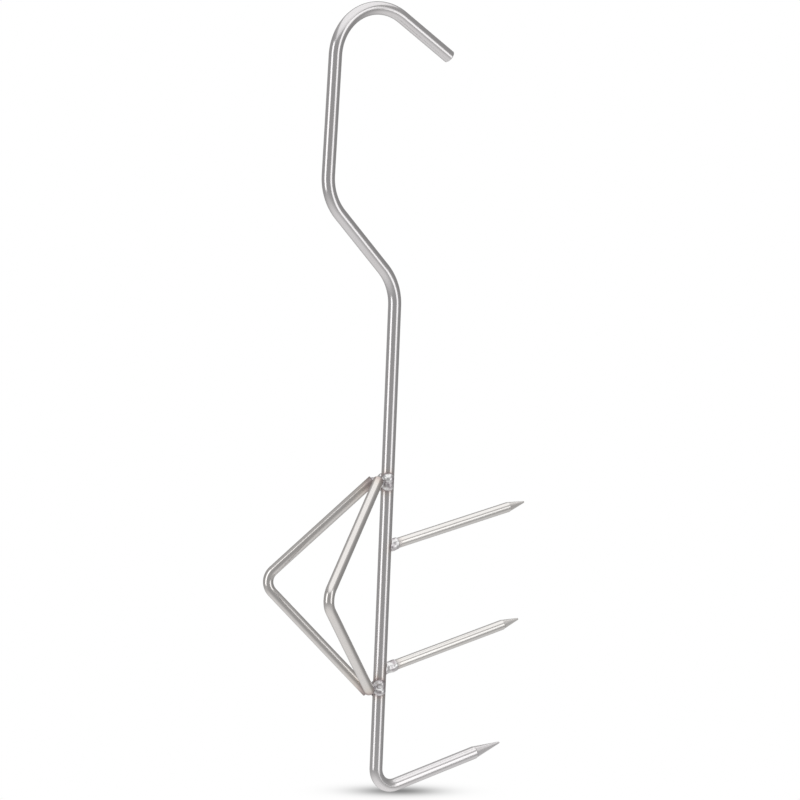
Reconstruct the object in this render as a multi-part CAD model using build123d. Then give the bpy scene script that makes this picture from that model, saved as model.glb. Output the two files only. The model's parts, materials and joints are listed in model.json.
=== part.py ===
from build123d import *
from math import cos, radians, sin, tan
import os

# Butcher's hanging hook, welded up from round stainless bar.
# The long rod hangs from a rail by its hook and ends in the lowest prong. Two more prongs are
# butt-welded to the front of its shank, and two bent bows are welded side by side to its back.
# The origin is where the hook rests on its rail. +Z is up and +X is the way the prongs point.

# Bar stock, diameters
rod_diameter = 10.0
prong_diameter = 8.0
bow_diameter = 8.0

# Long rod, corner to corner along its centre line
shank_length = 395.0            # from the foot corner up to the lower corner of the offset
offset_reach = 64.0             # how far the neck stands behind the shank
offset_rise = 64.0              # height of the slanting stretch between shank and neck
neck_length = 106.0             # from the offset's upper corner to the start of the hook's arc
neck_lean = 1.4                 # degrees off upright, towards the prongs
tail_length = 52.0              # straight end of the hook, past its arc
tail_drop = 31.7                # degrees below level
tail_edge_round = 0.8           # broken edge of the sawn end
hook_bend_radius = 38.0         # bend radii are measured on the centre line
offset_bend_radius = 40.0
foot_bend_radius = 15.0

# Prongs
lower_prong_length = 120.0      # from the foot corner to the tip
lower_prong_rise = 14.0         # degrees above level
lower_point_length = 25.0       # ground to a point over this length
middle_prong_height = 96.0      # above the foot corner, on the shank's centre line
middle_prong_rise = 14.0
upper_prong_height = 192.5
upper_prong_rise = 13.0
side_prong_reach = 133.5        # from the shank's centre line to the tip
side_point_length = 16.0
tip_diameter = 1.4              # every point is left slightly blunt

# Bows
bow_height = 163.0              # height of both bends above the foot corner
bow_half_span = 88.5            # from a bend up or down to where a leg's centre line meets the shank
bow_reach = 89.5                # from the back of the shank out to the bend's corner
bow_spread = 32.0               # degrees that each bow is swung out from straight back
bow_bend_radius = 12.0

# Weld metal
root_gap = 0.3                  # least gap between a sawn end and the bar that it is welded to
top_leg_gap = 4.5               # gap between the shank and the leg end that reaches closest to it
bottom_leg_gap = 3.0
collar_height = 0.5             # how far a prong's weld stands out from the prong
middle_collar_length = 9.0      # how far it runs along the prong from the shank
upper_collar_length = 6.0
collar_round = 0.4
plug_inset = 0.5                # a plug of weld, this much slimmer than the leg all round, fills the
                                # gap between the leg's sawn end and the shank
plug_bury = 3.0                 # how far it reaches into the shank, and is cut away
plug_margin = 0.3               # how much deeper it starts inside the leg than its flat end needs
puddle_radius = 4.2             # two round puddles run along the shank beside the leg
puddle_pitch = 4.8
puddle_inset = 1.0              # how far their centres lie inside the shank's surface
puddle_swing = 60.0             # degrees round the shank, from its back to the row of puddles
puddle_row_drop = 2.0           # from the height of the sawn end's middle to the row's, into the bow

rod_radius = rod_diameter / 2
prong_radius = prong_diameter / 2
bow_radius = bow_diameter / 2


def slope(angle):
    """Unit vector in the hook's own plane, at an angle above level."""
    return Vector(cos(radians(angle)), 0, sin(radians(angle)))


def swing(angle):
    """Level unit vector, swung from straight back (-X) towards +Y."""
    return Vector(-cos(radians(angle)), sin(radians(angle)), 0)


def bar(path, diameter):
    """Round bar along a path, with both ends cut square."""
    section = Plane(origin=path @ 0, z_dir=path % 0) * Circle(diameter / 2)
    return sweep(section, path=path)


def ground_point(tip, heading, diameter, length):
    """Cone that ends a bar at its tip."""
    base = Plane(origin=tip - heading * length, z_dir=heading)
    cone = Cone(diameter / 2, tip_diameter / 2, length, align=(Align.CENTER, Align.CENTER, Align.MIN))
    return base * cone


def make_long_rod():
    foot = Vector(0, 0, 0)
    offset_low = foot + Vector(0, 0, shank_length)
    offset_high = offset_low + Vector(-offset_reach, 0, offset_rise)
    prong_heading = slope(lower_prong_rise)
    neck_heading = slope(90 - neck_lean)
    tail_heading = slope(-tail_drop)
    # The hook's arc is the fillet of one corner, high above it, where neck and tail would meet.
    half_turn = (90 - neck_lean + tail_drop) / 2
    corner_reach = hook_bend_radius * tan(radians(half_turn))
    hook_corner = offset_high + neck_heading * (neck_length + corner_reach)
    corners = [
        foot + prong_heading * (lower_prong_length - lower_point_length),
        foot,
        offset_low,
        offset_high,
        hook_corner,
        hook_corner + tail_heading * (corner_reach + tail_length),
    ]
    bends = [foot_bend_radius, offset_bend_radius, offset_bend_radius, hook_bend_radius]
    rod = bar(FilletPolyline(*corners, radius=bends), rod_diameter)
    tail_face = rod.faces().sort_by_distance(corners[-1])[0]
    rod = fillet(tail_face.edges(), tail_edge_round)
    tip = foot + prong_heading * lower_prong_length
    return rod + ground_point(tip, prong_heading, rod_diameter, lower_point_length)


def rail_seat():
    """Highest point on the inside of the hook's arc."""
    hook_start = Vector(-offset_reach, 0, shank_length + offset_rise) + slope(90 - neck_lean) * neck_length
    arc_centre = hook_start + slope(-neck_lean) * hook_bend_radius
    return arc_centre + Vector(0, 0, hook_bend_radius - rod_radius)


def make_prong(height, rise):
    """Straight prong, sawn square and set against the shank, with the gap left for the weld."""
    heading = slope(rise)
    axis_start = Vector(0, 0, height)
    root_reach = (rod_radius + root_gap + prong_radius * sin(radians(rise))) / cos(radians(rise))
    tip = axis_start + heading * side_prong_reach
    straight = Line(axis_start + heading * root_reach, tip - heading * side_point_length)
    return bar(straight, prong_diameter) + ground_point(tip, heading, prong_diameter, side_point_length)


def make_prong_weld(height, rise, collar_length, rod, prong):
    """Collar of weld round a prong's root, which also fills the gap behind its sawn end."""
    length = (rod_radius + collar_length) / cos(radians(rise))
    collar = Cylinder(prong_radius + collar_height, length, align=(Align.CENTER, Align.CENTER, Align.MIN))
    collar = fillet(collar.edges().sort_by(Axis.Z)[-1], collar_round)
    collar = Plane(origin=Vector(0, 0, height), z_dir=slope(rise)) * collar
    return collar - rod - prong


def leg_heading(side, end):
    """Unit vector from a bow's bend up (end 1) or down (end -1) its leg to the shank."""
    return (Vector(0, 0, end * bow_half_span) - swing(side * bow_spread) * bow_reach).normalized()


def bow_root(end):
    """Where a leg's centre line meets the back of the shank."""
    return Vector(-rod_radius, 0, bow_height + end * bow_half_span)


def leg_end(side, end, setback):
    """Middle of a leg's sawn end, at a distance from the back of the shank along the leg."""
    return bow_root(end) - leg_heading(side, end) * setback


def make_bow(side, top_setback, bottom_setback):
    """V-shaped bow with its legs sawn square."""
    bend = Vector(-rod_radius, 0, bow_height) + swing(side * bow_spread) * bow_reach
    path = FilletPolyline(
        leg_end(side, 1, top_setback),
        bend,
        leg_end(side, -1, bottom_setback),
        radius=bow_bend_radius,
    )
    return bar(path, bow_diameter)


def make_bow_weld(side, end, setback):
    """Plug of weld behind a leg's sawn end, and two puddles along the shank beside the leg."""
    into_bow = Vector(0, 0, -end)
    outward = swing(side * bow_spread)
    plug_radius = bow_radius - plug_inset
    # It starts on the leg's centre line, so that the leg holds all of its flat end at any slope.
    depth_in_leg = plug_radius * abs(leg_heading(side, end).Z) + plug_margin
    start = leg_end(side, end, setback + depth_in_leg)
    length = (start - bow_root(end)).dot(outward) + plug_bury
    weld = Cylinder(plug_radius, length, align=(Align.CENTER, Align.CENTER, Align.MIN))
    weld = Plane(origin=start, z_dir=-outward) * weld
    sawn = leg_end(side, end, setback)
    row_middle = Vector(0, 0, sawn.Z) + into_bow * puddle_row_drop
    row_middle += swing(side * puddle_swing) * (rod_radius - puddle_inset)
    for step in (-0.5, 0.5):
        # Each ball's seam faces the shank's centre line, and is cut away with the shank.
        puddle = Rot(0, 0, -side * puddle_swing) * Sphere(puddle_radius)
        weld += Pos(row_middle + into_bow * step * puddle_pitch) * puddle
    return weld


def make_parts():
    rod = make_long_rod()
    middle_prong = make_prong(middle_prong_height, middle_prong_rise)
    upper_prong = make_prong(upper_prong_height, upper_prong_rise)

    # At the top the near bow's leg reaches closest to the shank, and at the bottom the far bow's does.
    # The other leg of each pair is sawn off where it comes up against the leading leg.
    near, far = -1, 1
    touching = bow_radius * bow_half_span / bow_reach
    leg_angle = leg_heading(near, 1).get_angle(leg_heading(far, 1))
    trailing = bow_radius / tan(radians(leg_angle / 2)) + root_gap
    setbacks = {
        (near, 1): touching + top_leg_gap,
        (near, -1): trailing,
        (far, 1): trailing,
        (far, -1): touching + bottom_leg_gap,
    }
    near_bow = make_bow(near, setbacks[near, 1], setbacks[near, -1])
    far_bow = make_bow(far, setbacks[far, 1], setbacks[far, -1])

    parts = {
        "long_rod": rod,
        "middle_prong": middle_prong,
        "upper_prong": upper_prong,
        "near_bow": near_bow,
        "far_bow": far_bow,
        "middle_prong_weld": make_prong_weld(
            middle_prong_height, middle_prong_rise, middle_collar_length, rod, middle_prong
        ),
        "upper_prong_weld": make_prong_weld(
            upper_prong_height, upper_prong_rise, upper_collar_length, rod, upper_prong
        ),
    }
    for end_name, end in (("top", 1), ("bottom", -1)):
        near_weld = make_bow_weld(near, end, setbacks[near, end])
        far_weld = make_bow_weld(far, end, setbacks[far, end])
        parts[f"near_bow_{end_name}_weld"] = near_weld - rod - near_bow - far_bow
        parts[f"far_bow_{end_name}_weld"] = far_weld - rod - near_bow - far_bow - near_weld
    return parts


os.makedirs("parts", exist_ok=True)
to_seat = Pos(-rail_seat())
for name, solid in make_parts().items():
    export_step(to_seat * solid, f"parts/{name}.step")
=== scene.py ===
import json
import random
from collections import namedtuple
from math import cos, e, radians, sin, tau
from types import SimpleNamespace

import bpy
import numpy as np
from mathutils import Matrix, Vector, kdtree, noise


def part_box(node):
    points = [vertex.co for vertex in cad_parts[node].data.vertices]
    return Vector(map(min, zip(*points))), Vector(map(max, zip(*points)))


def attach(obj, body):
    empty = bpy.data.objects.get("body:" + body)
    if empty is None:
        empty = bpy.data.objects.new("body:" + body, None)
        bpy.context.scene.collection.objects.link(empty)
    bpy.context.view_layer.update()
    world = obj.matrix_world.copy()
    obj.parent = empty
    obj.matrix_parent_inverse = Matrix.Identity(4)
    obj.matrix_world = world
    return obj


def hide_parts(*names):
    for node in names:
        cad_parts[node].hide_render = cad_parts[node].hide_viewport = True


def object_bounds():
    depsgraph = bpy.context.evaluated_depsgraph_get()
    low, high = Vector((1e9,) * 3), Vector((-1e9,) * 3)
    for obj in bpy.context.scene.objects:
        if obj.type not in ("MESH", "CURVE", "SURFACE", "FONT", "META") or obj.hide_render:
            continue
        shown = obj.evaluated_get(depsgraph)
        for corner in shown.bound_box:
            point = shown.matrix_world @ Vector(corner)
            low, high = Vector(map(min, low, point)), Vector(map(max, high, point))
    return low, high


# A welded meat hook of round stainless bar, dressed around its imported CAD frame, in metres.
# Each bar is swept again along the centre line that its CAD node has, and ends sawn or ground
# as the real one does. Each weld is its CAD solid, melted into lumpy and rippled beads.

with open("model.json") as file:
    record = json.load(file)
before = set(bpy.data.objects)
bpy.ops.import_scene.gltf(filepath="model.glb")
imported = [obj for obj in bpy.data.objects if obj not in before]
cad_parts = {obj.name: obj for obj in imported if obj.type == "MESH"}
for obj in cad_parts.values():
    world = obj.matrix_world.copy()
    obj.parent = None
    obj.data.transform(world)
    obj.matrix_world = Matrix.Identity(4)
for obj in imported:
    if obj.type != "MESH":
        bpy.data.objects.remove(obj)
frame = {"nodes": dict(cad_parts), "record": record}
cad_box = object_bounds()
MM = 0.001

# Bars
SIDES = 56                      # facets round a bar
BEND_STEP = 1.2 * MM            # stretch between two rings in a bend, roughly
STRAIGHT_STEP = 3.0 * MM        # the same in a straight run
STRAIGHT_COSINE = 0.99999       # headings that agree at least this well have no bend between them
SAME_PLACE = 0.05 * MM          # centres closer together than this are one
FEWEST_CORNERS = 60             # face corners that share a centre, on a real ring of a CAD bar
FLAT_RING = 0.02                # how far out of one plane their normals may be
CLOSEST_RINGS = 0.3 * MM
ON_BAR = 1.02                   # a bar's own vertices are within this many radii of its line
LEAST_TURN = 1e-3               # a bar whose ends turn by less than this is straight
SHARP_EDGE = 38                 # degrees
BARS = (                        # piece, CAD node, steel, reach of the welds' heat, facet seed
    ("rod", "long_rod", "rod_steel", 7 * MM, 3),
    ("spike_middle_prong", "middle_prong", "prong_steel", 14 * MM, 11),
    ("spike_upper_prong", "upper_prong", "prong_steel", 14 * MM, 12),
    ("wire_near_bow", "near_bow", "bow_steel", 15 * MM, 21),
    ("wire_far_bow", "far_bow", "bow_steel", 30 * MM, 22),
)

# Sawn ends
EDGE_BREAK = 0.35 * MM          # broken edge
BREAK_MIDDLE = (0.4, 0.12)      # shares of the break that its middle ring lies along it, and in
FACE_RINGS = (1.0, 0.97, 0.66, 0.33)    # rings on the sawn face, as shares of its rim

# Ground points
SHORTEST_POINT = 5.0 * MM       # a bar that ends within less than this is sawn, and not ground
POINT_FACETS = 7
FACET_JITTER = 0.18             # unevenness of their spacing
FACET_DEPTH = (0.015, 0.085)    # share of the cone's radius that a facet is ground in by
FACET_WIDEST = 0.2              # cosine of the angle from a facet's middle where it ends
POINT_RINGS = 26
POINT_START = 0.02 * MM         # from the bar's last ring to the point's first
SHOULDER = 0.5 * MM             # length over which a ground point starts
TIP_RADIUS = 0.7 * MM
TIP_START = 0.5                 # the cone stops this many tip radii short of its end
TIP_ROUND = (0.12, 0.62)        # and is rounded off here, in tip radii from its end and wide
TIP_END = 0.2                   # radius of its last ring, in tip radii

# Welds
VOXEL = 0.32 * MM
SETTLE = 0.5                    # how strongly each round of smoothing pulls
SMOOTH_ROUNDS = 14              # how far a weld's solid melts before its lumps are put on
BEADS = {                       # how far each weld flows out, and how high its lumps are
    "far_bow_bottom": (-0.5 * MM, 0.35 * MM),
    "near_bow_bottom": (0.3 * MM, 0.75 * MM),
    "far_bow_top": (0.7 * MM, 0.30 * MM),
    "near_bow_top": (0.75 * MM, 0.34 * MM),
    "prong": (0.1 * MM, 0.60 * MM),
}
LUMP_SIZE = 4.6 * MM
LUMP_SHIFT = Vector((7.3, 3.1, 5.7))    # moves the lumps from one weld to the next
FINE_SIZE = 0.35                # size of the smaller lumps, as a share of the large ones'
FINE_LUMP = 0.02                # their height, likewise
RIPPLE_PITCH = 1.7 * MM
RIPPLE_HEIGHT = 0.008 * MM
RIPPLE_WANDER = 3.0             # radians that a lump shifts the ripples by

# Steel. A mark's density is its number a metre, across the bar twice and then along it.
STEELS = {
    "rod_steel": {              # drawn: its lines run along it
        "colour": (0.62, 0.612, 0.622),
        "roughness": 0.17,
        "twist": 0.0,           # radians a metre that the lines slant round the bar
        "line_density": (1 / (0.55 * MM), 1 / (0.55 * MM), 1 / (60 * MM)),
        "line_depth": 0.0005 * MM,
        "heat_strength": 1.0,
        "low_end_brightness": 1.13,         # brightness of the stretch near its low end
    },
    "prong_steel": {
        "colour": (0.70, 0.69, 0.675),
        "roughness": 0.15,
        "twist": 330.0,
        "line_density": (1 / (0.8 * MM), 1 / (0.8 * MM), 1 / (12 * MM)),
        "line_depth": 0.0007 * MM,
        "heat_strength": 0.3,
        "low_end_brightness": 1.0,
    },
    "bow_steel": {
        "colour": (0.66, 0.645, 0.634),
        "roughness": 0.17,
        "twist": -280.0,
        "line_density": (1 / (0.8 * MM), 1 / (0.8 * MM), 1 / (12 * MM)),
        "line_depth": 0.0007 * MM,
        "heat_strength": 1.0,
        "low_end_brightness": 1.0,
    },
}
PATCH_DENSITY = (120.0, 120.0, 34.0)
SPECK_DENSITY = (900.0, 900.0, 420.0)
SAW_DENSITY = (3800.0, 160.0, 160.0)
GRIND_DENSITY = (700.0, 700.0, 2600.0)
LINE_SHADES = (0.86, 1.06)      # shares of the steel's colour between its lines and on them
PATCH_TINT = (0.90, 0.86, 0.82)
PATCH_STRENGTH = 0.30
LOW_END_FADE = (0.08, 0.15)      # how far along the bar the low end's extra brightness fades out, in metres
GROUND_PAINTED_GLEAM = 0.16             # painted gleam: a ground point is brighter by this share
SAWN_COLOUR = (0.40, 0.39, 0.38)
SAWN_STRENGTH = 0.55
LINE_ROUGHNESS = (0.9, 1.12)    # shares of the steel's roughness
SPECK_ROUGHNESS = (-0.010, 0.014)
SAWN_ROUGHNESS = 0.22
GROUND_ROUGHNESS = 0.16
SCALE_ROUGHNESS = 0.28          # beside a weld
SCALE_HEAT = (0.70, 0.95)       # heat at which it starts, and at which it is full
PATCH_HEIGHT = 0.006 * MM
SAW_HEIGHT = 0.05 * MM
GRIND_HEIGHT = 0.012 * MM
HEAT_UNEVEN = 0.16              # how far the patches shift the tints
HEAT_TINTS = (                  # from bare steel at 0 to the weld's edge at 1
    (0.0, (1.0, 1.0, 1.0)),
    (0.35, (1.0, 0.99, 0.975)),
    (0.58, (0.99, 0.965, 0.935)),
    (0.73, (0.96, 0.91, 0.87)),
    (0.83, (0.80, 0.72, 0.70)),
    (0.93, (0.54, 0.48, 0.48)),
    (1.0, (0.60, 0.55, 0.55)),
)

# Weld metal
LUMP_DENSITY = (230.0, 230.0, 230.0)
BEAD_SPECK_DENSITY = (1500.0, 1500.0, 1500.0)
BEAD_SPECK_HEIGHT = 0.008 * MM
BEAD_ROUGHNESS = (0.38, 0.17)   # in its hollows and on its tops
BEAD_SPECK_ROUGHNESS = (-0.03, 0.05)
BEAD_TONES = (
    (0.0, (0.30, 0.27, 0.28)),
    (0.38, (0.44, 0.41, 0.425)),
    (0.48, (0.60, 0.585, 0.595)),
    (0.60, (0.70, 0.70, 0.70)),
    (1.0, (0.72, 0.72, 0.73)),
)

# Camera
CAMERA_DISTANCE = 2.0
CAMERA_AZIMUTH = 33.25          # degrees from -Y, turned towards the hook's back
CAMERA_ELEVATION = 5.47
CAMERA_ROLL = 2.33              # the hook's top leans right by this
CAMERA_LENS = 117.6             # millimetres, on a sensor this wide
CAMERA_SENSOR = 36.0
CAMERA_CLIP = 50.0
AIM_FROM_MIDDLE = Vector((-18.6, -3.3, 3.4)) * MM

# Stage
WHITE = (1.0, 1.0, 1.0, 1.0)
FLOOR_HALF = 14.0
FLOOR_GAP = 0.05 * MM
# The floor's shadow is painted: a soft dark ellipse in its glow under the foot
SHADOW_PLACE = 0.48             # of the way from the hook's back to its front
SHADOW_SIZE = (34.0 * MM, 15.0 * MM)
SHADOW_TURN = -23.0             # degrees from +X to its longer side
SHADOW_DEPTH = 0.76
ROOM_COLOUR = (1.0, 0.99, 0.985, 1.0)
ROOM_GLOW = 0.47                # what the bars reflect between the lamps
CEILING_GLOW = 0.76             # the same far above
CEILING_RISE = (0.38, 0.85)     # sine of the elevation where it starts, and where it is full
FLOOR_GLOW = 1.0                # and far below
FLOOR_FALL = (-0.2, -0.95)
DIM_SIDE = 0.80                 # share of the glow that is left behind the hook, to its right
DIM_AZIMUTH = CAMERA_AZIMUTH - 140
DIM_FADE = (0.4, 0.9)           # cosine from that azimuth where it starts, and where it is full
LAMPS = (                       # name, azimuth from the camera, elevation, distance, size, watts
    ("left", 52, 4.4, 4.0, (2.0, 3.46), 32.0),
    ("right", -52, 4.4, 4.0, (2.0, 3.46), 25.0),
    ("top", 0, 80, 1.5, (2.4, 3.2), 14.5),
)


def unit(vector):
    return vector / np.linalg.norm(vector)


def add_object(name, data):
    thing = bpy.data.objects.new(name, data)
    bpy.context.scene.collection.objects.link(thing)
    return thing


# ---------------------------------------------------------------- centre lines from the frame


def ring_centres(node, radius):
    """Centre and heading of every ring of a CAD bar: its surface moved inwards by its radius."""
    mesh = frame["nodes"][node].data
    places = np.array([v.co for v in mesh.vertices])
    at = places[[loop.vertex_index for loop in mesh.loops]]
    normals = np.array([corner.vector for corner in mesh.corner_normals])
    centres = at - radius * normals
    found = []
    taken = np.zeros(len(centres), bool)
    for first in range(len(centres)):
        if taken[first]:
            continue
        near = np.linalg.norm(centres - centres[first], axis=1) < SAME_PLACE
        taken |= near
        if near.sum() < FEWEST_CORNERS:
            continue
        spread, directions = np.linalg.svd(normals[near], full_matrices=False)[1:]
        centre = centres[near].mean(0)
        level = spread[2] < FLAT_RING * spread[0]
        if level and all(np.linalg.norm(centre - other) > CLOSEST_RINGS for other, heading in found):
            found.append((centre, directions[2]))
    return found


def in_order(rings):
    """The rings in the order of the shortest chain through nearest neighbours, lowest end first."""
    points = np.array([centre for centre, heading in rings])
    apart = np.linalg.norm(points[:, None] - points[None], axis=2)
    best_length, best = np.inf, None
    for first in range(len(points)):
        chain, length = [first], 0.0
        left = set(range(len(points))) - {first}
        while left:
            nearest = min(left, key=lambda i: apart[chain[-1], i])
            length += apart[chain[-1], nearest]
            chain.append(nearest)
            left.remove(nearest)
        if length < best_length:
            best_length, best = length, chain
    if points[best[0]][2] > points[best[-1]][2]:
        best.reverse()
    ordered = [rings[i] for i in best]
    result = []
    for number, (centre, heading) in enumerate(ordered):
        ahead = ordered[min(number + 1, len(ordered) - 1)][0]
        behind = ordered[max(number - 1, 0)][0]
        result.append((centre, heading if heading @ (ahead - behind) > 0 else -heading))
    return result


def resample(rings):
    """Closer points and headings on the same line, a cubic Hermite curve between two rings."""
    points, headings = [rings[0][0]], [rings[0][1]]
    for (a, out), (b, into) in zip(rings, rings[1:]):
        chord = np.linalg.norm(b - a)
        step = BEND_STEP if out @ into < STRAIGHT_COSINE else STRAIGHT_STEP
        count = max(1, round(chord / step))
        for t in np.arange(1, count + 1) / count:
            place = (2 * t**3 - 3 * t**2 + 1) * a + (3 * t**2 - 2 * t**3) * b
            place += chord * ((t**3 - 2 * t**2 + t) * out + (t**3 - t**2) * into)
            slope = (6 * t**2 - 6 * t) * (a - b) / chord
            slope += (3 * t**2 - 4 * t + 1) * out + (3 * t**2 - 2 * t) * into
            points.append(place)
            headings.append(unit(slope))
    return points, headings


def overrun(node, end, heading, radius):
    """How far a CAD bar goes on past an end of its centre line."""
    places = np.array([v.co for v in frame["nodes"][node].data.vertices])
    along = (places - end) @ heading
    off_axis = np.linalg.norm(places - end - along[:, None] * heading, axis=1)
    return along[off_axis < ON_BAR * radius].max()


# ---------------------------------------------------------------- bars

# A ring of a swept bar. run is its place along the bar, and facets are the flats ground on it.
# cut is 1 on a sawn face and ground is 1 on a ground point.
Ring = namedtuple("Ring", "place heading run radius facets cut ground")


def facet_share(angle, facets):
    """Share of a point's full radius that is left after flat facets are ground on it."""
    left = 1.0
    for middle, depth in facets:
        off = cos(angle - middle)
        if off > FACET_WIDEST:
            left = min(left, (1 - depth) / off)
    return left


def sawn_end(radius, length):
    """(distance, radius, facets, cut) of the rings that close a sawn end, from the last ring."""
    start = max(length - EDGE_BREAK, 0.0)
    rings = [(start, radius)]
    rings.append((start + BREAK_MIDDLE[0] * (length - start), radius - BREAK_MIDDLE[1] * EDGE_BREAK))
    rings += [(length, share * (radius - EDGE_BREAK)) for share in FACE_RINGS]
    return [ring + (None, 1.0 if ring[0] == length else 0.0) for ring in rings]


def ground_end(radius, length, facets):
    """The same for a ground point, with its facets."""
    rings = [(POINT_START, radius, None, 0.0)]
    for number in range(POINT_RINGS + 1):
        cone_length = length - TIP_START * TIP_RADIUS - SHOULDER
        distance = SHOULDER + cone_length * number / POINT_RINGS
        cone = radius + (TIP_RADIUS - radius) * distance / length
        rings.append((distance, cone, facets, 0.0))
    rings.append((length - TIP_ROUND[0] * TIP_RADIUS, TIP_ROUND[1] * TIP_RADIUS, facets, 0.0))
    rings.append((length, TIP_END * TIP_RADIUS, None, 0.0))
    return rings


def draw_facets(draw):
    """Unevenly spaced facets of a ground point: the angle and the depth of each."""
    start = draw.uniform(0, tau)
    facets = []
    for number in range(POINT_FACETS):
        middle = start + tau * (number + draw.uniform(-FACET_JITTER, FACET_JITTER)) / POINT_FACETS
        facets.append((middle, draw.uniform(*FACET_DEPTH)))
    return facets


def bar_rings(node, radius, points, headings, seed):
    """All rings of a bar, with both of its ends closed."""
    draw = random.Random(seed)
    steps = [np.linalg.norm(b - a) for a, b in zip(points, points[1:])]
    run = np.concatenate([[0], np.cumsum(steps)])
    rings = [Ring(p, h, s, radius, None, 0.0, 0.0) for p, h, s in zip(points, headings, run)]
    ends = ((points[-1], headings[-1], run[-1], 1), (points[0], -headings[0], 0.0, -1))
    for end, outward, s, sign in ends:
        length = overrun(node, end, outward, radius)
        facets = draw_facets(draw)
        ground = length > SHORTEST_POINT
        closing = ground_end(radius, length, facets) if ground else sawn_end(radius, length)
        new = []
        for distance, ring_radius, ring_facets, cut in closing:
            place = end + outward * distance
            heading = outward * sign
            shape = (ring_radius, ring_facets, cut, 1.0 if ground else 0.0)
            new.append(Ring(place, heading, s + sign * distance, *shape))
        rings = rings + new if sign > 0 else new[::-1] + rings
    return rings


def skin(rings, across):
    """Vertices of the surface through the rings, their values for the material, and its faces."""
    verts, values, faces = [], {"stock": [], "cut": [], "ground": []}, []
    for ring in rings:
        up = np.cross(across, ring.heading)
        for number in range(SIDES):
            angle = tau * number / SIDES
            reach = ring.radius * (facet_share(angle, ring.facets) if ring.facets else 1.0)
            verts.append(ring.place + reach * (cos(angle) * across + sin(angle) * up))
            values["stock"].append((reach * cos(angle), reach * sin(angle), ring.run))
            values["cut"].append(ring.cut)
            values["ground"].append(ring.ground)
    for start in range(0, (len(rings) - 1) * SIDES, SIDES):
        for number in range(SIDES):
            a, b = start + number, start + (number + 1) % SIDES
            faces.append((a, b, b + SIDES, a + SIDES))
    for index, flip in ((0, True), (len(rings) - 1, False)):
        middle = len(verts)
        verts.append(rings[index].place)
        values["stock"].append((0.0, 0.0, rings[index].run))
        values["cut"].append(rings[index].cut)
        values["ground"].append(rings[index].ground)
        for number in range(SIDES):
            a, b = index * SIDES + number, index * SIDES + (number + 1) % SIDES
            faces.append((b, a, middle) if flip else (a, b, middle))
    return verts, values, faces


def add_values(mesh, name, values):
    vectors = isinstance(values[0], tuple)
    attribute = mesh.attributes.new(name, "FLOAT_VECTOR" if vectors else "FLOAT", "POINT")
    attribute.data.foreach_set("vector" if vectors else "value", np.array(values, np.float32).ravel())


def sweep_bar(name, node, radius, material, heat_reach, seed):
    """A round bar along a CAD bar's centre line, which stands for that CAD node."""
    points, headings = resample(in_order(ring_centres(node, radius)))
    turn = np.cross(headings[0], headings[-1])
    across = unit(turn) if np.linalg.norm(turn) > LEAST_TURN else np.array([0.0, 1.0, 0.0])
    verts, values, faces = skin(bar_rings(node, radius, points, headings, seed), across)
    mesh = bpy.data.meshes.new(name)
    mesh.from_pydata([tuple(v) for v in verts], [], faces)
    mesh.update()
    mesh.shade_smooth()
    mesh.set_sharp_from_angle(angle=radians(SHARP_EDGE))
    for key in values:
        add_values(mesh, key, values[key])
    add_values(mesh, "weld_heat", heat_on(verts, heat_reach))
    mesh.materials.append(material)
    bar = add_object(name, mesh)
    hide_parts(node)
    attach(bar, "root")


# ---------------------------------------------------------------- welds

weld_nodes = sorted(name for name in frame["nodes"] if name.endswith("_weld"))
weld_places = [v.co.copy() for name in weld_nodes for v in frame["nodes"][name].data.vertices]
weld_tree = kdtree.KDTree(len(weld_places))
for index, place in enumerate(weld_places):
    weld_tree.insert(place, index)
weld_tree.balance()


def heat_on(places, reach):
    """1 beside a weld, falling to 0 where its heat no longer tints the steel."""
    return [max(0.0, 1 - weld_tree.find(place)[2] / reach) for place in places]


def flow_out(bead):
    """Remesh a weld's solid finely and smooth it."""
    remesh = bead.modifiers.new("flow", "REMESH")
    remesh.mode = "VOXEL"
    remesh.voxel_size = VOXEL
    smooth = bead.modifiers.new("settle", "SMOOTH")
    smooth.factor = SETTLE
    smooth.iterations = SMOOTH_ROUNDS
    graph = bpy.context.evaluated_depsgraph_get()
    flowed = bpy.data.meshes.new_from_object(bead.evaluated_get(graph))
    bead.modifiers.clear()
    bead.data = flowed
    flowed.name = bead.name


def melt(name, node, material, flow, lump_height, seed):
    """A weld's CAD solid, flowed out over the bars and left lumpy, which stands for it."""
    mesh = frame["nodes"][node].data.copy()
    mesh.name = name
    mesh.materials.clear()
    bead = add_object(name, mesh)
    flow_out(bead)
    low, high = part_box(node)
    middle = (low + high) / 2
    moved = []
    for vertex in bead.data.vertices:
        lump = noise.noise(vertex.co / LUMP_SIZE + seed * LUMP_SHIFT)
        fine = noise.noise(vertex.co / (FINE_SIZE * LUMP_SIZE) + seed * LUMP_SHIFT)
        ripple = cos(tau * (vertex.co - middle).z / RIPPLE_PITCH + RIPPLE_WANDER * lump)
        swell = flow + lump_height * (lump + FINE_LUMP * fine) + RIPPLE_HEIGHT * ripple
        moved.append(vertex.co + vertex.normal * swell)
    for vertex, place in zip(bead.data.vertices, moved):
        vertex.co = place
    bead.data.shade_smooth()
    bead.data.materials.append(material)
    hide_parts(node)
    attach(bead, "root")


# ---------------------------------------------------------------- materials


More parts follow.
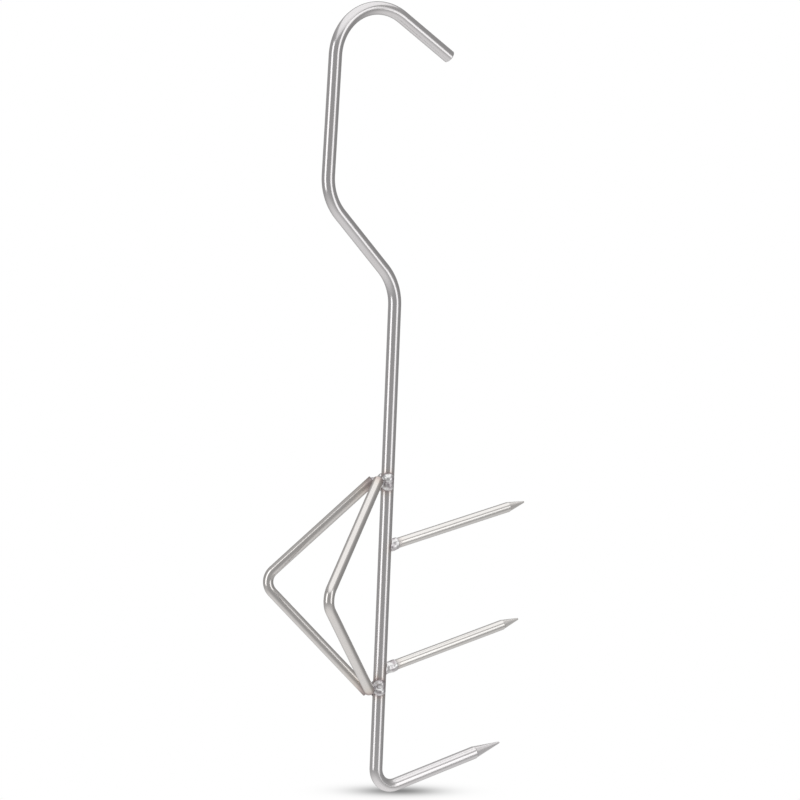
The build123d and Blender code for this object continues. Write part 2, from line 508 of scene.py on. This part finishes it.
class Nodes:
    """Short names for what the materials below add to a node tree."""

    def __init__(self, tree):
        self.tree = tree

    def add(self, kind, inputs=(), **settings):
        node = self.tree.nodes.new(kind)
        for key, value in settings.items():
            setattr(node, key, value)
        for key, value in dict(inputs).items():
            if isinstance(value, bpy.types.NodeSocket):
                self.tree.links.new(value, node.inputs[key])
            else:
                node.inputs[key].default_value = value
        return node

    def attribute(self, name, output="Fac"):
        return self.add("ShaderNodeAttribute", attribute_name=name).outputs[output]

    def math(self, operation, a, b=0.0, clamp=False):
        return self.add("ShaderNodeMath", {0: a, 1: b}, operation=operation, use_clamp=clamp).outputs[0]

    def noise(self, place, density, detail=2.0, roughness=0.5):
        stretched = self.add("ShaderNodeMapping", {"Vector": place, "Scale": density}).outputs["Vector"]
        inputs = {"Vector": stretched, "Scale": 1.0, "Detail": detail, "Roughness": roughness}
        return self.add("ShaderNodeTexNoise", inputs).outputs["Fac"]

    def ramp(self, factor, stops):
        """Colours at ascending places, of which the first is 0 and the last is 1."""
        node = self.add("ShaderNodeValToRGB", {"Fac": factor})
        elements = node.color_ramp.elements
        elements[0].color = stops[0][1] + (1.0,)
        elements[1].color = stops[-1][1] + (1.0,)
        for place, colour in stops[1:-1]:
            elements.new(place).color = colour + (1.0,)
        return node.outputs["Color"]

    def mix(self, factor, a, b, blend="MIX"):
        node = self.add("ShaderNodeMix", data_type="RGBA", blend_type=blend)
        for index, value in ((0, factor), (6, a), (7, b)):
            if isinstance(value, bpy.types.NodeSocket):
                self.tree.links.new(value, node.inputs[index])
            else:
                node.inputs[index].default_value = value if index == 0 else tuple(value) + (1.0,)
        return node.outputs[2]

    def span(self, value, low, high, start=0.0, end=1.0, curve="LINEAR"):
        """low up to start and high from end on, with a straight or smooth way between them."""
        inputs = {"Value": value, "From Min": start, "From Max": end, "To Min": low, "To Max": high}
        return self.add("ShaderNodeMapRange", inputs, interpolation_type=curve).outputs["Result"]

    def metal(self, colour, roughness, height):
        """Finish the material as bare metal."""
        inputs = {"Strength": 1.0, "Distance": 1.0, "Height": height}
        bump = self.add("ShaderNodeBump", inputs).outputs["Normal"]
        inputs = {"Base Color": colour, "Metallic": 1.0, "Roughness": roughness, "Normal": bump}
        shader = self.add("ShaderNodeBsdfPrincipled", inputs)
        self.add("ShaderNodeOutputMaterial", {"Surface": shader.outputs[0]})


def new_material(name):
    material = bpy.data.materials.new(name)
    material.use_nodes = True
    material.node_tree.nodes.clear()
    return material, Nodes(material.node_tree)


def steel_marks(n, steel):
    """The values and noises that a steel's colour, roughness and relief are made from."""
    stock = n.attribute("stock", "Vector")
    run = n.add("ShaderNodeSeparateXYZ", {0: stock}).outputs["Z"]
    inputs = {"Vector": stock, "Angle": n.math("MULTIPLY", run, steel["twist"])}
    turned = n.add("ShaderNodeVectorRotate", inputs, rotation_type="Z_AXIS").outputs["Vector"]
    patches = n.noise(stock, PATCH_DENSITY, detail=3.0)
    unevenness = n.span(patches, -HEAT_UNEVEN, HEAT_UNEVEN)
    return SimpleNamespace(
        run=run,
        cut=n.attribute("cut"),
        ground=n.attribute("ground"),
        heat=n.math("ADD", n.attribute("weld_heat"), unevenness, clamp=True),
        lines=n.noise(turned, steel["line_density"], detail=3.0, roughness=0.6),
        patches=patches,
        specks=n.noise(stock, SPECK_DENSITY),
        scratch=n.noise(stock, SAW_DENSITY),
        grind=n.noise(turned, GRIND_DENSITY),
    )


def steel_colour(n, steel, marks):
    plain = steel["colour"]
    between, on = ([min(1.0, share * c) for c in plain] for share in LINE_SHADES)
    shade = n.mix(marks.lines, between, on)
    warm = [share * c for share, c in zip(PATCH_TINT, plain)]
    shade = n.mix(n.span(marks.patches, 0.0, PATCH_STRENGTH), shade, warm)
    bright = n.span(marks.run, steel["low_end_brightness"], 1.0, *LOW_END_FADE, curve="SMOOTHSTEP")
    # painted gleam: ground points are brighter in colour
    bright = n.math("ADD", bright, n.math("MULTIPLY", marks.ground, GROUND_PAINTED_GLEAM))
    shade = n.add("ShaderNodeVectorMath", {0: shade, 3: bright}, operation="SCALE").outputs[0]
    tinted = n.mix(1.0, shade, n.ramp(marks.heat, HEAT_TINTS), "MULTIPLY")
    shade = n.mix(steel["heat_strength"], shade, tinted)
    return n.mix(n.math("MULTIPLY", marks.cut, SAWN_STRENGTH), shade, SAWN_COLOUR)


def steel_roughness(n, steel, marks):
    rough = n.span(marks.lines, *(share * steel["roughness"] for share in LINE_ROUGHNESS))
    rough = n.math("ADD", rough, n.span(marks.specks, *SPECK_ROUGHNESS))
    rough = n.math("ADD", rough, n.math("MULTIPLY", marks.cut, SAWN_ROUGHNESS))
    scale = n.span(marks.heat, 0.0, SCALE_ROUGHNESS, *SCALE_HEAT, curve="SMOOTHSTEP")
    rough = n.math("ADD", rough, scale)
    return n.math("ADD", rough, n.math("MULTIPLY", marks.ground, GROUND_ROUGHNESS), clamp=True)


def steel_relief(n, steel, marks):
    """Height of the steel's marks, in metres."""
    height = n.math("MULTIPLY", marks.lines, steel["line_depth"])
    height = n.math("ADD", height, n.math("MULTIPLY", marks.patches, PATCH_HEIGHT))
    sawn = n.math("MULTIPLY", n.math("MULTIPLY", marks.scratch, marks.cut), SAW_HEIGHT)
    height = n.math("ADD", height, sawn)
    ground = n.math("MULTIPLY", n.math("MULTIPLY", marks.grind, marks.ground), GRIND_HEIGHT)
    return n.math("ADD", height, ground)


def steel_bar(name, steel):
    """Bright bar, tinted beside its welds, scratched where it is sawn and dull where ground."""
    material, n = new_material(name)
    marks = steel_marks(n, steel)
    colour = steel_colour(n, steel, marks)
    n.metal(colour, steel_roughness(n, steel, marks), steel_relief(n, steel, marks))
    return material


def weld_metal():
    """Bright weld: smooth tops, dull and tinted hollows."""
    material, n = new_material("weld_metal")
    place = n.add("ShaderNodeTexCoord").outputs["Object"]
    lumps = n.noise(place, LUMP_DENSITY)
    specks = n.noise(place, BEAD_SPECK_DENSITY)
    speckle = n.span(specks, *BEAD_SPECK_ROUGHNESS)
    rough = n.math("ADD", n.span(lumps, *BEAD_ROUGHNESS), speckle, clamp=True)
    n.metal(n.ramp(lumps, BEAD_TONES), rough, n.math("MULTIPLY", specks, BEAD_SPECK_HEIGHT))
    return material


# ---------------------------------------------------------------- the object


def make_bars():
    dims = {mount["name"]: mount["dims"] for mount in frame["record"]["mounts"]}
    rod_radius = dims["lower_prong_spike"]["r_mm"] * MM
    slim_radius = dims["upper_prong_spike"]["r_mm"] * MM
    steels = {name: steel_bar(name, steel) for name, steel in STEELS.items()}
    for name, node, steel, heat_reach, seed in BARS:
        radius = rod_radius if node == "long_rod" else slim_radius
        sweep_bar(name, node, radius, steels[steel], heat_reach, seed)


def make_welds():
    material = weld_metal()
    for number, node in enumerate(weld_nodes):
        flow, lump_height = next(values for place, values in BEADS.items() if place in node)
        melt(f"bead_{node}", node, material, flow, lump_height, seed=number + 1)


# ---------------------------------------------------------------- stage, lights and camera

low, high = Vector(cad_box[0]), Vector(cad_box[1])
middle = (low + high) / 2


def make_floor():
    """White floor with a painted soft shadow under the foot. It is there for the camera alone."""
    mesh = bpy.data.meshes.new("floor")
    z = low.z - FLOOR_GAP
    corners = [(x * FLOOR_HALF, y * FLOOR_HALF, z) for x, y in ((-1, -1), (1, -1), (1, 1), (-1, 1))]
    mesh.from_pydata(corners, [], [(0, 1, 2, 3)])
    floor = add_object("floor", mesh)
    floor.visible_diffuse = floor.visible_glossy = floor.visible_shadow = False
    material, n = new_material("floor")
    inputs = {
        "Vector": n.add("ShaderNodeTexCoord").outputs["Object"],
        "Location": (low.x + SHADOW_PLACE * (high.x - low.x), 0, z),
        "Rotation": (0, 0, radians(SHADOW_TURN)),
        "Scale": SHADOW_SIZE + (1.0,),
    }
    across = n.add("ShaderNodeMapping", inputs, vector_type="TEXTURE").outputs["Vector"]
    away = n.add("ShaderNodeVectorMath", {0: across}, operation="LENGTH").outputs["Value"]
    share = n.math("POWER", e, n.math("MULTIPLY", n.math("MULTIPLY", away, away), -1.0))
    white = n.math("SUBTRACT", 1.0, n.math("MULTIPLY", share, SHADOW_DEPTH))
    glow = n.add("ShaderNodeEmission", {"Color": WHITE, "Strength": white})
    n.add("ShaderNodeOutputMaterial", {"Surface": glow.outputs[0]})
    mesh.materials.append(material)


def look(place, target, roll=0.0):
    """Matrix of a camera or lamp at a place that looks at a target, turned about its view by roll."""
    turn = (target - place).to_track_quat("-Z", "Y").to_matrix().to_4x4()
    return Matrix.Translation(place) @ turn @ Matrix.Rotation(radians(roll), 4, "Z")


def towards(azimuth, elevation):
    """Unit vector at an azimuth from -Y, turned towards -X, and an elevation above level."""
    level = Vector((-sin(radians(azimuth)), -cos(radians(azimuth)), 0))
    return level * cos(radians(elevation)) + Vector((0, 0, sin(radians(elevation))))


def make_lamps():
    for name, azimuth, elevation, distance, size, power in LAMPS:
        lamp = bpy.data.lights.new(name, "AREA")
        lamp.shape = "RECTANGLE"
        lamp.size, lamp.size_y = size
        lamp.energy = power
        box = add_object(name, lamp)
        place = middle + towards(CAMERA_AZIMUTH + azimuth, elevation) * distance
        box.matrix_world = look(place, middle)
        box.visible_camera = False


def make_world():
    """White to the camera. In the bars it is grey all round, paler far above and below."""
    world = bpy.data.worlds.new("studio")
    bpy.context.scene.world = world
    world.use_nodes = True
    world.node_tree.nodes.clear()
    n = Nodes(world.node_tree)
    seen = n.add("ShaderNodeBackground", {"Color": WHITE, "Strength": 1.0})
    direction = n.add("ShaderNodeTexCoord").outputs["Generated"]
    height = n.add("ShaderNodeSeparateXYZ", {0: direction}).outputs["Z"]
    above = n.span(height, ROOM_GLOW, CEILING_GLOW, *CEILING_RISE, curve="SMOOTHSTEP")
    below = n.span(height, ROOM_GLOW, FLOOR_GLOW, *FLOOR_FALL, curve="SMOOTHSTEP")
    inputs = {0: direction, 1: tuple(towards(DIM_AZIMUTH, 0))}
    facing = n.add("ShaderNodeVectorMath", inputs, operation="DOT_PRODUCT").outputs["Value"]
    dimming = n.span(facing, 1.0, DIM_SIDE, *DIM_FADE, curve="SMOOTHSTEP")
    strength = n.math("MULTIPLY", n.math("MAXIMUM", above, below), dimming)
    around = n.add("ShaderNodeBackground", {"Color": ROOM_COLOUR, "Strength": strength})
    camera_ray = n.add("ShaderNodeLightPath").outputs["Is Camera Ray"]
    inputs = {0: camera_ray, 1: around.outputs[0], 2: seen.outputs[0]}
    both = n.add("ShaderNodeMixShader", inputs)
    n.add("ShaderNodeOutputWorld", {"Surface": both.outputs[0]})


def make_camera():
    camera = bpy.data.cameras.new("camera")
    camera.lens, camera.sensor_width = CAMERA_LENS, CAMERA_SENSOR
    camera.clip_end = CAMERA_CLIP
    target = middle + AIM_FROM_MIDDLE
    place = target + towards(CAMERA_AZIMUTH, CAMERA_ELEVATION) * CAMERA_DISTANCE
    eye = add_object("camera", camera)
    eye.matrix_world = look(place, target, CAMERA_ROLL)
    bpy.context.scene.camera = eye


make_bars()
make_welds()
make_floor()
make_world()
make_camera()
make_lamps()
bpy.context.scene.view_settings.view_transform = "Standard"
